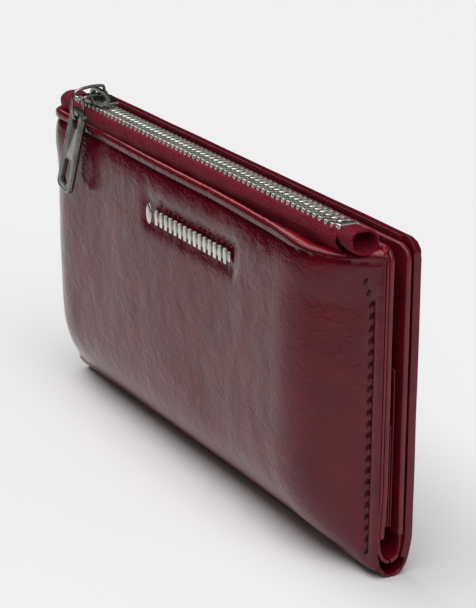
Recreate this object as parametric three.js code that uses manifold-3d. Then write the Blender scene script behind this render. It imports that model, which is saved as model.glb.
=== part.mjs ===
// Long zip wallet, closed and standing on its fold.
// Millimetres. X runs along the wallet, the zipped front half is on the -Y side, +Z is up.
// The origin is the centre of the flat underside of the fold.
import * as THREE from "three";
import { mergeVertices } from "three/addons/utils/BufferGeometryUtils.js";
import Module from "manifold-3d";

// ---- driving dimensions ----
const LENGTH = 190; // end to end
const HEIGHT = 94; // top edge of the front half
const COVER_TOP = 96; // top edge of the back half
const BULGE = 13; // how far the front stands out from its own edges
const GAP = 0.3; // left between pieces that touch
const ROUND_STEPS = 3; // straight steps in each rounded corner

// ---- sheet thicknesses ----
const PATENT = 1.2; // the outer skin
const SKIN = 0.8; // the inner leather
const BOARD = 0.5; // stiffener
const LINING = 0.4;

// ---- the fold ----
const HINGE_Y = 4.6; // each fold line's distance from the middle
const HINGE_Z = 1.9;
const SPINE_HALF = 4; // half width of the strip between the fold lines
const SPINE_THICK = 1.5;

// ---- layers of the front half, front to back: the Y of each one's front face ----
const FRONT_EDGE_Y = -5; // where the front skin's ends stop
const REAR_WALL_Y = -4.7;
const FRONT_BOARD_Y = -3.6;
const FRONT_LEAF_Y = -2.8;

// ---- layers of the back half ----
const BACK_LEAF_Y = 1.5;
const BACK_BACKING_Y = 2.6;
const BACK_PANEL_Y = 3.8;
const BACK_PANEL_DEPTH = 2.3;
const BACK_FLOOR = 0.9; // thickness of the back skin inside its rim

// ---- zip ----
const ZIP_Y = -11; // centre line of the chain
const TEETH_LOW = 98.4;
const TEETH_HIGH = 101.4;
const CHAIN_LEFT = -74; // where the rows of teeth start and end
const CHAIN_RIGHT = 82;
const TOOTH_PITCH = 2.7;
const TOOTH_REST = 0.7; // each row's distance from the centre line
const ROW_OUT = 3.2; // outer side of each row
const ROW_SPINE = 2.2; // inner side of the bead that carries the teeth
const TAPE = 0.5;

// ---- slider, link and puller ----
const SLIDER_X = -63.5; // at the closed end
const SLIDER_LENGTH = 15;
const TOP_PLATE_HALF = 4.2;
const BOTTOM_PLATE_HALF = 3;
const BRIDGE_Z = 105.4;
const BRIDGE_THICK = 0.9;
const BRIDGE_WIDTH = 1.4;
const WIRE = 0.5; // radius of the link's wire
const LINK_TURN = 1.5; // half the height of the link's turn round the bridge, at the middle of the wire
const EYE_TURN = 2; // half the width of the link's turn through the puller's eye
const EYE_Y = -18.8; // where the puller hangs on the link
const EYE_Z = 97.1;
const PULLER_LENGTH = 27.5;
const PULLER_WIDTH = 9.4;
const PULLER_THICK = 1.6;
const PULLER_LEAN = THREE.MathUtils.degToRad(6.8); // foot outwards
const PULLER_TILT = THREE.MathUtils.degToRad(12); // foot towards the end of the wallet

// ---- colours ----
const finish = (color, roughness, metalness) =>
  new THREE.MeshStandardMaterial({ color, roughness, metalness });
const patent = finish("#5c1024", 0.18, 0);
const leather = finish("#7a1b2d", 0.35, 0);
const fabric = finish("#6d1526", 0.9, 0);
const board = finish("#b9b2a6", 0.95, 0);
const tape = finish("#8d1228", 0.85, 0);
const nickel = finish("#b5b5ad", 0.3, 1);
const gunmetal = finish("#4a4a46", 0.25, 1);

const wallet = new THREE.Group();

function add(name, geometry, material) {
  const mesh = new THREE.Mesh(geometry, material);
  mesh.name = name;
  wallet.add(mesh);
  return mesh;
}

// ---- shapes ----
const TO_YZ = new THREE.Matrix4().makeBasis(
  new THREE.Vector3(0, 1, 0),
  new THREE.Vector3(0, 0, 1),
  new THREE.Vector3(1, 0, 0),
);
const TO_XZ = new THREE.Matrix4().makeBasis(
  new THREE.Vector3(1, 0, 0),
  new THREE.Vector3(0, 0, 1),
  new THREE.Vector3(0, -1, 0),
);

// An outline in Y and Z, swept along X from x0 to x1.
function alongX(shape, x0, x1) {
  const options = { depth: x1 - x0, bevelEnabled: false, curveSegments: ROUND_STEPS };
  const geometry = new THREE.ExtrudeGeometry(shape, options);
  geometry.applyMatrix4(TO_YZ);
  geometry.translate(x0, 0, 0);
  return geometry;
}

// An outline in X and Z, as a plate whose front face is at y and whose back face is at y + thick.
function sheetAt(shape, y, thick) {
  const options = { depth: thick, bevelEnabled: false, curveSegments: ROUND_STEPS };
  const geometry = new THREE.ExtrudeGeometry(shape, options);
  geometry.applyMatrix4(TO_XZ);
  geometry.translate(0, y + thick, 0);
  return geometry;
}

// An outline in X and Y, as a plate between two heights.
function plateAt(shape, z0, z1) {
  const options = { depth: z1 - z0, bevelEnabled: false, curveSegments: ROUND_STEPS };
  const geometry = new THREE.ExtrudeGeometry(shape, options);
  geometry.translate(0, 0, z0);
  return geometry;
}

function polygon(points) {
  return new THREE.Shape(points.map(([a, b]) => new THREE.Vector2(a, b)));
}

// A rectangle with its own radius at the low and at the high corners.
function roundedRect(x0, y0, x1, y1, low, high = low) {
  const shape = new THREE.Shape();
  shape.moveTo(x0 + low, y0);
  shape.lineTo(x1 - low, y0);
  shape.absarc(x1 - low, y0 + low, low, -Math.PI / 2, 0, false);
  shape.lineTo(x1, y1 - high);
  shape.absarc(x1 - high, y1 - high, high, 0, Math.PI / 2, false);
  shape.lineTo(x0 + high, y1);
  shape.absarc(x0 + high, y1 - high, high, Math.PI / 2, Math.PI, false);
  shape.lineTo(x0, y0 + low);
  shape.absarc(x0 + low, y0 + low, low, Math.PI, Math.PI * 1.5, false);
  return shape;
}

// ---- joining and cutting ----
const wasm = await Module();
wasm.setup();

function toSolid(geometry) {
  const bare = geometry.clone();
  bare.deleteAttribute("normal");
  bare.deleteAttribute("uv");
  const merged = mergeVertices(bare, 1e-4);
  const vertProperties = merged.attributes.position.array;
  const triVerts = new Uint32Array(merged.index.array);
  return new wasm.Manifold(new wasm.Mesh({ numProp: 3, vertProperties, triVerts }));
}

function toGeometry(solid) {
  const mesh = solid.getMesh();
  const geometry = new THREE.BufferGeometry();
  geometry.setAttribute("position", new THREE.BufferAttribute(mesh.vertProperties, 3));
  geometry.setIndex(new THREE.BufferAttribute(mesh.triVerts, 1));
  geometry.computeVertexNormals();
  return geometry;
}

function join(...parts) {
  return toGeometry(parts.map(toSolid).reduce((a, b) => a.add(b)));
}

function cut(whole, ...tools) {
  return toGeometry(tools.map(toSolid).reduce((a, b) => a.subtract(b), toSolid(whole)));
}

// ---- the swelled front ----
const END_ROUND = 11; // how far along X the front curves back at each end
const FOOT_Z = 4; // lower edge of the front skin
const FOOT_RISE = 36; // height over which the swelling grows
const FOOT_POWER = 2.4;
const ROUNDNESS = 2.6; // 2 is an ellipse, more is squarer
const CORNER = 4; // rounded top corners

function depthAt(z) {
  const rise = THREE.MathUtils.clamp((z - FOOT_Z) / FOOT_RISE, 0, 1);
  const least = 0.16;
  return BULGE * (least + (1 - least) * (1 - Math.pow(1 - rise, FOOT_POWER)));
}

// The outer surface of the front: s runs from -1 to 1 along it.
function frontSkin(s, z) {
  const straight = LENGTH / 2 - END_ROUND;
  const turnShare = 0.16; // part of s used by each end's turn
  const depth = depthAt(z);
  const along = Math.abs(s);
  if (along <= 1 - turnShare) {
    const x = (Math.sign(s) * straight * along) / (1 - turnShare);
    return new THREE.Vector3(x, FRONT_EDGE_Y - depth, z);
  }
  const angle = ((along - 1 + turnShare) / turnShare) * (Math.PI / 2);
  const out = Math.pow(Math.sin(angle), 2 / ROUNDNESS) * END_ROUND;
  const back = Math.pow(Math.cos(angle), 2 / ROUNDNESS) * depth;
  return new THREE.Vector3(Math.sign(s) * (straight + out), FRONT_EDGE_Y - back, z);
}

function frontNormal(s, z) {
  const step = 1e-3;
  const inside = THREE.MathUtils.clamp(s, -1 + step, 1 - step);
  const alongS = frontSkin(inside + step, z).sub(frontSkin(inside - step, z));
  const alongZ = frontSkin(inside, z + step).sub(frontSkin(inside, z - step));
  return alongS.cross(alongZ).normalize();
}

// A layer of the swelled front, between two depths under its surface and two heights.
// It starts as a flat box of cells, and each corner moves to its place.
function frontLayer(under, thick, z0, z1, edgeY, columns, rows) {
  const geometry = new THREE.BoxGeometry(2, 1, 1, columns, 1, rows);
  const position = geometry.attributes.position;
  for (let i = 0; i < position.count; i++) {
    const s = position.getX(i);
    const z = THREE.MathUtils.lerp(z0, z1, position.getZ(i) + 0.5);
    const inwards = under + thick * (position.getY(i) + 0.5);
    const p = frontSkin(s, z).addScaledVector(frontNormal(s, z), -inwards);
    p.y = Math.min(p.y, edgeY);
    const rounding = z - (HEIGHT - CORNER);
    if (rounding > 0) {
      const taken = CORNER - Math.sqrt(CORNER * CORNER - Math.min(rounding, CORNER) ** 2);
      p.x *= 1 - taken / LENGTH;
    }
    p.z = THREE.MathUtils.clamp(p.z, z0, z1);
    position.setXYZ(i, p.x, p.y, p.z);
  }
  return geometry;
}

const BINDING_LOW = 86;
const liningUnder = PATENT + 2 * GAP;
add("front_panel", frontLayer(0, PATENT, FOOT_Z, HEIGHT, FRONT_EDGE_Y, 36, 12), patent);
add(
  "pocket_lining_front",
  frontLayer(liningUnder, LINING, 14, BINDING_LOW - GAP, FRONT_EDGE_Y - 1, 36, 7),
  fabric,
);

// The band turned over the top edge of the front.
const BAND_HALF = 80;
const bandFrontY = FRONT_EDGE_Y - BULGE + PATENT + GAP;
const bandShape = roundedRect(bandFrontY, BINDING_LOW, bandFrontY + 1, HEIGHT + 0.8, 0.2, 0.45);
add("front_top_binding", alongX(bandShape, -BAND_HALF, BAND_HALF), leather);

// ---- back wall of the zip pocket and the leaf behind it ----
const half = LENGTH / 2;
const rearWall = roundedRect(-half, 8, half, HEIGHT, 0.5, CORNER);
add("pocket_rear_wall", sheetAt(rearWall, REAR_WALL_Y, SKIN), leather);
const frontBoard = roundedRect(-half + 3, 13, half - 3, HEIGHT - 3, 2);
add("front_leaf_board", sheetAt(frontBoard, FRONT_BOARD_Y, BOARD), board);
const frontLeaf = roundedRect(-half, 12, half, HEIGHT + 1, 0.5, CORNER);
add("front_leaf", sheetAt(frontLeaf, FRONT_LEAF_Y, SKIN), leather);
const rearLining = roundedRect(-half + 4, 14, half - 4, BINDING_LOW - GAP, 3);
add("pocket_lining_rear", sheetAt(rearLining, REAR_WALL_Y - GAP - LINING, LINING), fabric);

// ---- zip tapes: each is sewn inside the mouth and rises to the row of teeth ----
const TAPE_LOW = BINDING_LOW + 0.5;
const TAPE_SPARE = 2.8; // tape past each end of the rows
const tapeTop = (TEETH_LOW + TEETH_HIGH) / 2;
function zipTape(name, sewnY, side) {
  const rowY = ZIP_Y + side * (ROW_OUT + GAP);
  const points = [
    [sewnY, TAPE_LOW],
    [sewnY, 92.5],
    [rowY + side * TAPE, tapeTop - 1.6],
    [rowY + side * TAPE, tapeTop],
    [rowY, tapeTop],
    [rowY, tapeTop - 1.6],
    [sewnY - side * TAPE, 92.3],
    [sewnY - side * TAPE, TAPE_LOW],
  ];
  const outline = polygon(side > 0 ? points : points.reverse());
  add(name, alongX(outline, CHAIN_LEFT - TAPE_SPARE, CHAIN_RIGHT + TAPE_SPARE), tape);
}
zipTape("zip_tape_front", bandFrontY + 1 + GAP, -1);
zipTape("zip_tape_rear", REAR_WALL_Y - GAP, 1);

// ---- teeth: a row is one comb, its teeth standing on the bead at the tape's edge ----
const TOOTH_WIDTH = 1.25;
function zipRow(name, side, shift) {
  const outline = new THREE.Shape();
  const y = (out) => ZIP_Y + side * out;
  outline.moveTo(CHAIN_LEFT, y(ROW_OUT));
  outline.lineTo(CHAIN_LEFT, y(ROW_SPINE));
  const room = CHAIN_RIGHT - CHAIN_LEFT - shift - TOOTH_WIDTH;
  const count = Math.floor(room / TOOTH_PITCH) + 1;
  for (let i = 0; i < count; i++) {
    const x = CHAIN_LEFT + shift + i * TOOTH_PITCH;
    outline.lineTo(x, y(ROW_SPINE));
    outline.lineTo(x, y(TOOTH_REST + 0.3));
    outline.lineTo(x + 0.4, y(TOOTH_REST));
    outline.lineTo(x + TOOTH_WIDTH - 0.4, y(TOOTH_REST));
    outline.lineTo(x + TOOTH_WIDTH, y(TOOTH_REST + 0.3));
    outline.lineTo(x + TOOTH_WIDTH, y(ROW_SPINE));
  }
  outline.lineTo(CHAIN_RIGHT, y(ROW_SPINE));
  outline.lineTo(CHAIN_RIGHT, y(ROW_OUT));
  add(name, plateAt(outline, TEETH_LOW, TEETH_HIGH), nickel);
}
zipRow("zip_teeth_front", -1, 0.5);
zipRow("zip_teeth_rear", 1, 0.5 + TOOTH_PITCH / 2);

// ---- stops at the ends of the chain ----
const STOP_LENGTH = 2.2;
function zipStop(name, x, y0, y1) {
  const outline = roundedRect(y0, TEETH_LOW, y1, TEETH_HIGH, 0.6);
  add(name, alongX(outline, x, x + STOP_LENGTH), nickel);
}
const topStop = CHAIN_LEFT - GAP - STOP_LENGTH;
zipStop("zip_top_stop_front", topStop, ZIP_Y - ROW_OUT, ZIP_Y - 0.8);
zipStop("zip_top_stop_rear", topStop, ZIP_Y + 0.8, ZIP_Y + ROW_OUT);
zipStop("zip_bottom_stop", CHAIN_RIGHT + GAP, ZIP_Y - ROW_OUT, ZIP_Y + ROW_OUT);

// ---- the tape's ends, folded into short tubes and tucked in ----
const TUCK_LENGTH = 6;
const TUCK_HALF = 3.9;
const TUCK_WALL = 0.8;
const TUCK_LOW = 95.2;
const TUCK_HIGH = 100.6;
function tapeTuck(name, x) {
  const outline = roundedRect(ZIP_Y - TUCK_HALF, TUCK_LOW, ZIP_Y + TUCK_HALF, TUCK_HIGH, 2.2);
  const hollow = roundedRect(
    ZIP_Y - TUCK_HALF + TUCK_WALL,
    TUCK_LOW + TUCK_WALL,
    ZIP_Y + TUCK_HALF - TUCK_WALL,
    TUCK_HIGH - TUCK_WALL,
    1.4,
  );
  outline.holes.push(new THREE.Path(hollow.getPoints(ROUND_STEPS).reverse()));
  add(name, alongX(outline, x, x + TUCK_LENGTH), tape);
}
const tuckGap = TAPE_SPARE + GAP;
tapeTuck("zip_end_tuck_left", CHAIN_LEFT - tuckGap - TUCK_LENGTH);
tapeTuck("zip_end_tuck_right", CHAIN_RIGHT + tuckGap);

// ---- trim on the front: a plain polished bar ----
const BAR_X = 9.5;
const BAR_LENGTH = 53;
const BAR_Z = 78.6;
const BAR_HEIGHT = 5;
const barY = FRONT_EDGE_Y - BULGE - GAP;
const barShape = roundedRect(
  BAR_X - BAR_LENGTH / 2,
  BAR_Z - BAR_HEIGHT / 2,
  BAR_X + BAR_LENGTH / 2,
  BAR_Z + BAR_HEIGHT / 2,
  2.2,
);
add("trim_bar", sheetAt(barShape, barY - 0.9, 0.9), nickel);

// ---- the fold: outer strip and inner lining ----
const spineShape = new THREE.Shape();
spineShape.moveTo(-SPINE_HALF + 0.8, 0);
spineShape.lineTo(SPINE_HALF - 0.8, 0);
spineShape.quadraticCurveTo(SPINE_HALF, 0.1, SPINE_HALF, 0.9);
spineShape.lineTo(SPINE_HALF, SPINE_THICK);
spineShape.lineTo(-SPINE_HALF, SPINE_THICK);
spineShape.lineTo(-SPINE_HALF, 0.9);
spineShape.quadraticCurveTo(-SPINE_HALF, 0.1, -SPINE_HALF + 0.8, 0);
add("spine_strip", alongX(spineShape, -half, half), patent);
const FOLD_LINING_HALF = 2.6;
const foldLining = new THREE.Shape();
foldLining.moveTo(-FOLD_LINING_HALF, 4.2);
foldLining.quadraticCurveTo(0, 2.2, FOLD_LINING_HALF, 4.2);
foldLining.lineTo(FOLD_LINING_HALF, 5);
foldLining.quadraticCurveTo(0, 3, -FOLD_LINING_HALF, 5);
foldLining.lineTo(-FOLD_LINING_HALF, 4.2);
add("spine_lining", alongX(foldLining, -half + 1, half - 1), leather);

// ---- back half ----
const backLeaf = roundedRect(-half, 12, half, HEIGHT + 1, 0.5, CORNER);
add("back_leaf", sheetAt(backLeaf, BACK_LEAF_Y, SKIN), leather);
const backBacking = roundedRect(-half + 1, 12.5, half - 1, HEIGHT, 0.5, CORNER);
add("back_leaf_backing", sheetAt(backBacking, BACK_BACKING_Y, SKIN), leather);
const backOutline = roundedRect(-half, FOOT_Z, half, COVER_TOP, 0.5, CORNER);
const RIM = 1.4;
const backHollow = roundedRect(-half + RIM, FOOT_Z + RIM, half - RIM, COVER_TOP - RIM, 0.5, 3);
const hollowDepth = BACK_PANEL_DEPTH - BACK_FLOOR;
const backPanel = cut(
  sheetAt(backOutline, BACK_PANEL_Y, BACK_PANEL_DEPTH),
  sheetAt(backHollow, BACK_PANEL_Y - 1, hollowDepth + 1),
);
add("back_panel", backPanel, patent);
const inset = RIM + GAP;
const backBoard = roundedRect(-half + inset, 6, half - inset, COVER_TOP - inset, 0.5, 3);
add("back_board", sheetAt(backBoard, BACK_PANEL_Y + 0.7, 0.4), board);
add("back_lining", sheetAt(backBoard, BACK_PANEL_Y, LINING), fabric);

// ---- card slots: two columns on each leaf, a tall panel with a short one over it ----
const SLOT = 0.5;
const COLUMN_WIDTH = 89; // a card is 85.6 wide
const TALL = 60;
const SHORT = 44;
function cardSlots(leafName, leafY, side) {
  const columns = { left: -LENGTH / 4, right: LENGTH / 4 };
  const levels = { upper: TALL, lower: SHORT };
  for (const [column, x] of Object.entries(columns)) {
    Object.entries(levels).forEach(([level, top], i) => {
      const shape = roundedRect(x - COLUMN_WIDTH / 2, 14, x + COLUMN_WIDTH / 2, top, 0.5);
      const away = GAP + i * (SLOT + GAP);
      const y = side > 0 ? leafY + away : leafY - away - SLOT;
      add(leafName + "_slot_" + column + "_" + level, sheetAt(shape, y, SLOT), leather);
    });
  }
}
cardSlots("front", FRONT_LEAF_Y + SKIN, 1);
cardSlots("back", BACK_LEAF_Y, -1);

// ---- slider: two plates around the chain, a thin divider and a bridge for the link ----
const PLATE = 1.2;
const topPlateLow = TEETH_HIGH + 0.4;
const topPlateHigh = topPlateLow + PLATE;
const bottomPlateHigh = TEETH_LOW - 0.4;
function sliderPlate(halfWidth, z0, z1) {
  const noseX = SLIDER_X - SLIDER_LENGTH / 2;
  const tailX = SLIDER_X + SLIDER_LENGTH / 2;
  const outline = new THREE.Shape();
  outline.moveTo(noseX + 2.5, ZIP_Y - halfWidth);
  outline.lineTo(SLIDER_X, ZIP_Y - halfWidth);
  outline.quadraticCurveTo(tailX - 3, ZIP_Y - halfWidth * 0.8, tailX, ZIP_Y - halfWidth * 0.66);
  outline.lineTo(tailX, ZIP_Y + halfWidth * 0.66);
  outline.quadraticCurveTo(tailX - 3, ZIP_Y + halfWidth * 0.8, SLIDER_X, ZIP_Y + halfWidth);
  outline.lineTo(noseX + 2.5, ZIP_Y + halfWidth);
  outline.quadraticCurveTo(noseX, ZIP_Y + halfWidth, noseX, ZIP_Y + halfWidth - 2);
  outline.lineTo(noseX, ZIP_Y - halfWidth + 2);
  outline.quadraticCurveTo(noseX, ZIP_Y - halfWidth, noseX + 2.5, ZIP_Y - halfWidth);
  return plateAt(outline, z0, z1);
}
const divider = plateAt(
  roundedRect(
    SLIDER_X - SLIDER_LENGTH / 2 + 0.4,
    ZIP_Y - 0.35,
    SLIDER_X - SLIDER_LENGTH / 2 + 4,
    ZIP_Y + 0.35,
    0.3,
  ),
  bottomPlateHigh - 0.5,
  topPlateLow + 0.5,
);
const BRIDGE_HALF = 5.6;
const bridgeUnder = BRIDGE_Z - BRIDGE_THICK / 2;
const bridgeOver = BRIDGE_Z + BRIDGE_THICK / 2;
const bridgeShape = polygon([
  [-BRIDGE_HALF - 0.6, topPlateHigh - 0.4],
  [-BRIDGE_HALF + 0.6, topPlateHigh - 0.4],
  [-BRIDGE_HALF + 1, bridgeUnder - 1.2],
  [-BRIDGE_HALF + 2.4, bridgeUnder],
  [BRIDGE_HALF - 2.4, bridgeUnder],
  [BRIDGE_HALF - 1, bridgeUnder - 1.2],
  [BRIDGE_HALF - 0.6, topPlateHigh - 0.4],
  [BRIDGE_HALF + 0.6, topPlateHigh - 0.4],
  [BRIDGE_HALF + 0.3, bridgeUnder - 0.6],
  [BRIDGE_HALF - 1.8, bridgeOver],
  [-BRIDGE_HALF + 1.8, bridgeOver],
  [-BRIDGE_HALF - 0.3, bridgeUnder - 0.6],
]);
const bridge = sheetAt(bridgeShape, ZIP_Y - BRIDGE_WIDTH / 2, BRIDGE_WIDTH);
bridge.translate(SLIDER_X, 0, 0);
const sliderBody = join(
  sliderPlate(TOP_PLATE_HALF, topPlateLow, topPlateHigh),
  sliderPlate(BOTTOM_PLATE_HALF, bottomPlateHigh - PLATE, bottomPlateHigh),
  divider,
  bridge,
);
add("slider_body", sliderBody, gunmetal);

// ---- link: a bent wire loop round the bridge, its lower turn through the puller's eye ----
const linkPath = new THREE.CatmullRomCurve3(
  [
    [ZIP_Y + 0.4, BRIDGE_Z - LINK_TURN],
    [ZIP_Y - 3.4, BRIDGE_Z - LINK_TURN],
    [EYE_Y + EYE_TURN + 0.3, BRIDGE_Z - LINK_TURN - 0.5],
    [EYE_Y + EYE_TURN - 0.1, EYE_Z + 4.6],
    [EYE_Y + EYE_TURN - 0.1, EYE_Z + 2],
    [EYE_Y + 1.3, EYE_Z + 0.4],
    [EYE_Y, EYE_Z],
    [EYE_Y - 1.3, EYE_Z + 0.4],
    [EYE_Y - EYE_TURN + 0.1, EYE_Z + 2],
    [EYE_Y - EYE_TURN + 0.1, EYE_Z + 5],
    [EYE_Y - 0.8, EYE_Z + 8.6],
    [ZIP_Y - 4, BRIDGE_Z + LINK_TURN],
    [ZIP_Y + 0.4, BRIDGE_Z + LINK_TURN],
    [ZIP_Y + 1.35, BRIDGE_Z + 0.95],
    [ZIP_Y + 1.6, BRIDGE_Z],
    [ZIP_Y + 1.35, BRIDGE_Z - 0.95],
  ].map(([y, z]) => new THREE.Vector3(SLIDER_X, y, z)),
  true,
  "catmullrom",
  0.5,
);
const wireSection = new THREE.Shape();
wireSection.absarc(0, 0, WIRE, 0, Math.PI * 2, false);
const link = new THREE.ExtrudeGeometry(wireSection, {
  steps: 48,
  curveSegments: 4,
  bevelEnabled: false,
  extrudePath: linkPath,
});
add("puller_link", link, gunmetal);

// ---- puller: a flat plate with a round-cornered eye and a window in its foot ----
const EYE_DROP = 1.3; // from the wire's middle to the eye's middle
const EYE_RADIUS = 2.2;
const pullerTop = 3.9 - EYE_DROP;
const pullerShape = roundedRect(
  -PULLER_WIDTH / 2,
  pullerTop - PULLER_LENGTH,
  PULLER_WIDTH / 2,
  pullerTop,
  2.2,
  1.4,
);
const eye = new THREE.Path();
eye.absarc(0, -EYE_DROP, EYE_RADIUS, 0, Math.PI * 2, true);
const eyePoints = eye.getPoints(3 * ROUND_STEPS);
const windowLow = pullerTop - PULLER_LENGTH + 2.2;
const pullerWindow = roundedRect(-2.4, windowLow, 2.4, windowLow + 8.6, 1.6);
const windowPoints = pullerWindow.getPoints(ROUND_STEPS).reverse();
pullerShape.holes.push(new THREE.Path(eyePoints), new THREE.Path(windowPoints));
const plate = sheetAt(pullerShape, -PULLER_THICK / 2, PULLER_THICK);
const puller = add("puller", plate, gunmetal);
puller.position.set(SLIDER_X, EYE_Y, EYE_Z);
puller.rotation.set(-PULLER_LEAN, PULLER_TILT, 0, "XYZ");

export default wallet;
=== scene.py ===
# %% [markdown]
# # A long zip wallet, closed and standing on its fold
# The wallet has two halves joined by a fold: a swelled zip pocket in front and a flat cover behind.
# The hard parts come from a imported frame, and this lesson dresses that frame in leather, cloth and
# metal.
# Every size below is in millimetres, and it is turned into metres once, when a mesh is finished.

# %% Load the fixed frame
import math
import bmesh
import bpy
from mathutils import Matrix, Vector, noise


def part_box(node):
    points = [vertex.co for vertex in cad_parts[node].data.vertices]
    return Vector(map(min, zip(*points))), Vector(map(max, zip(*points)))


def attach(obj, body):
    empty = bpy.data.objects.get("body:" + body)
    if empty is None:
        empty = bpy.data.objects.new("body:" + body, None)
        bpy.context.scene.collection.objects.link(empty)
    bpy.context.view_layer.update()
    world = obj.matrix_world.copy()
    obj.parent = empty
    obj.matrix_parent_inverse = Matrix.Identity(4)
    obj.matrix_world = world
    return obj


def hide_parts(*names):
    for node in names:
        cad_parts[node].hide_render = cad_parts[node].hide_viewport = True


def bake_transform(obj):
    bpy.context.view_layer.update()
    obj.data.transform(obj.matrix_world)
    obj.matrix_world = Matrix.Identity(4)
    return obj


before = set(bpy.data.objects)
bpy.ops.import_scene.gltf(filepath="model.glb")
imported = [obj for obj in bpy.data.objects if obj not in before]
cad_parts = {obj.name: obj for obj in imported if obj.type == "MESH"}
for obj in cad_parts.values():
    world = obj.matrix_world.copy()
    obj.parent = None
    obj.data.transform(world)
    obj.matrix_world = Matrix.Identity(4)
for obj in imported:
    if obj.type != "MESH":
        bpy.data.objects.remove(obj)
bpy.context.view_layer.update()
MM = 0.001
HALF = 95

# %% [markdown]
# ## The camera
# A long lens from above the right end flattens the perspective, as in a catalogue picture of a small
# object.
# The camera is placed first, so that each piece can be judged from where it will be seen.
# Its turn is given as three angles: round the upright axis, down from level, and a slight roll.

# %% Place the camera
def aim(azimuth, elevation, roll):
    """The rotation of a camera that looks at the origin from that direction, in degrees."""
    a, e, r = (math.radians(v) for v in (azimuth, elevation, roll))
    back = Vector((math.sin(a) * math.cos(e), -math.cos(a) * math.cos(e), math.sin(e)))
    right = Vector((math.cos(a), math.sin(a), 0))
    up = back.cross(right)
    x_axis = right * math.cos(r) + up * math.sin(r)
    y_axis = up * math.cos(r) - right * math.sin(r)
    return Matrix((x_axis, y_axis, back)).transposed()


camera_data = bpy.data.cameras.new("camera")
camera_data.lens = 129.8
camera_data.clip_start = 0.01
camera = bpy.data.objects.new("camera", camera_data)
camera.matrix_world = Matrix.Translation((0.5511, -0.3057, 0.2665)) @ aim(60.66, 18.87, 0.37).to_4x4()
bpy.context.scene.collection.objects.link(camera)
bpy.context.scene.camera = camera
bpy.context.scene.view_settings.view_transform = "Standard"
print("camera at", tuple(round(v, 3) for v in camera.location))

# %% [markdown]
# ## Building node materials
# Each finish is a Principled shader with two close colours mixed by noise, a roughness that varies,
# and layers of bump.
# A small helper makes a node and fills its sockets, so a material reads as a list of its layers.
# Patterns read Object coordinates, which stay with the piece because every object sits at the origin.

# %% Helpers for materials
def add_node(material, kind, inputs=None, **settings):
    """A node with its settings made, and its inputs either set to a value or linked to a socket."""
    tree = material.node_tree
    node = tree.nodes.new(kind)
    for name, value in settings.items():
        setattr(node, name, value)
    for name, value in (inputs or {}).items():
        if isinstance(value, bpy.types.NodeSocket):
            tree.links.new(value, node.inputs[name])
        else:
            node.inputs[name].default_value = value
    return node


def place_pattern(material, stretch=(1, 1, 1), turn=(0, 0, 0)):
    """Object coordinates, stretched and turned, as a vector socket."""
    where = add_node(material, "ShaderNodeTexCoord").outputs["Object"]
    mapping = add_node(
        material, "ShaderNodeMapping", {"Vector": where, "Scale": stretch, "Rotation": turn})
    return mapping.outputs["Vector"]


def add_noise(material, size, detail=2.0, stretch=(1, 1, 1), turn=(0, 0, 0), warp=0.0):
    """Noise whose lumps are about size millimetres across, as a socket from 0 to 1."""
    inputs = {
        "Vector": place_pattern(material, stretch, turn),
        "Scale": 1 / (size * MM),
        "Detail": detail,
        "Distortion": warp,
    }
    return add_node(material, "ShaderNodeTexNoise", inputs).outputs["Fac"]


def add_weave(material, period, direction):
    """Even ridges across one axis, period millimetres apart."""
    inputs = {
        "Vector": place_pattern(material), "Scale": 0.314 / (period * MM), "Distortion": 0.6,
        "Detail": 1.0}
    return add_node(material, "ShaderNodeTexWave", inputs, bands_direction=direction).outputs["Fac"]


def new_finish(name, **sockets):
    """A material whose even values are set on the shader's own sockets."""
    material = bpy.data.materials.new(name)
    material.use_nodes = True
    shader = material.node_tree.nodes["Principled BSDF"]
    for socket, value in sockets.items():
        shader.inputs[socket.replace("_", " ")].default_value = value
    return material


def mix_colours(material, mask, low, high, low_at=0.3, high_at=0.7):
    """The base colour goes from low to high as the mask rises."""
    ramp = add_node(material, "ShaderNodeValToRGB", {"Fac": mask})
    for element, at, colour in zip(ramp.color_ramp.elements, (low_at, high_at), (low, high)):
        element.position = at
        element.color = (*colour, 1)
    shader = material.node_tree.nodes["Principled BSDF"]
    material.node_tree.links.new(ramp.outputs["Color"], shader.inputs["Base Color"])


def vary_roughness(material, mask, low, high):
    """Roughness runs between two values as the mask does."""
    span = add_node(material, "ShaderNodeMapRange", {"Value": mask, "To Min": low, "To Max": high})
    shader = material.node_tree.nodes["Principled BSDF"]
    material.node_tree.links.new(span.outputs["Result"], shader.inputs["Roughness"])


def add_relief(material, *layers):
    """Bump layers on top of each other: each is a mask and its height in millimetres."""
    below = None
    for mask, height in layers:
        inputs = {"Height": mask, "Distance": height * MM, "Strength": 1.0}
        if below:
            inputs["Normal"] = below
        below = add_node(material, "ShaderNodeBump", inputs).outputs["Normal"]
    shader = material.node_tree.nodes["Principled BSDF"]
    material.node_tree.links.new(below, shader.inputs["Normal"])
    print(material.name, "has", len(layers), "layers of relief")


# %% [markdown]
# ## Patent leather
# The outer skin is leather under a thick clear lacquer, crinkled before it was coated.
# The lacquer gives a sharp mirror, so even a slope of a few degrees shows as a broken edge in a
# reflection.
# Three sizes of relief make that: broad ripples, the crinkle itself, and a fine crinkle inside it.

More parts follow.
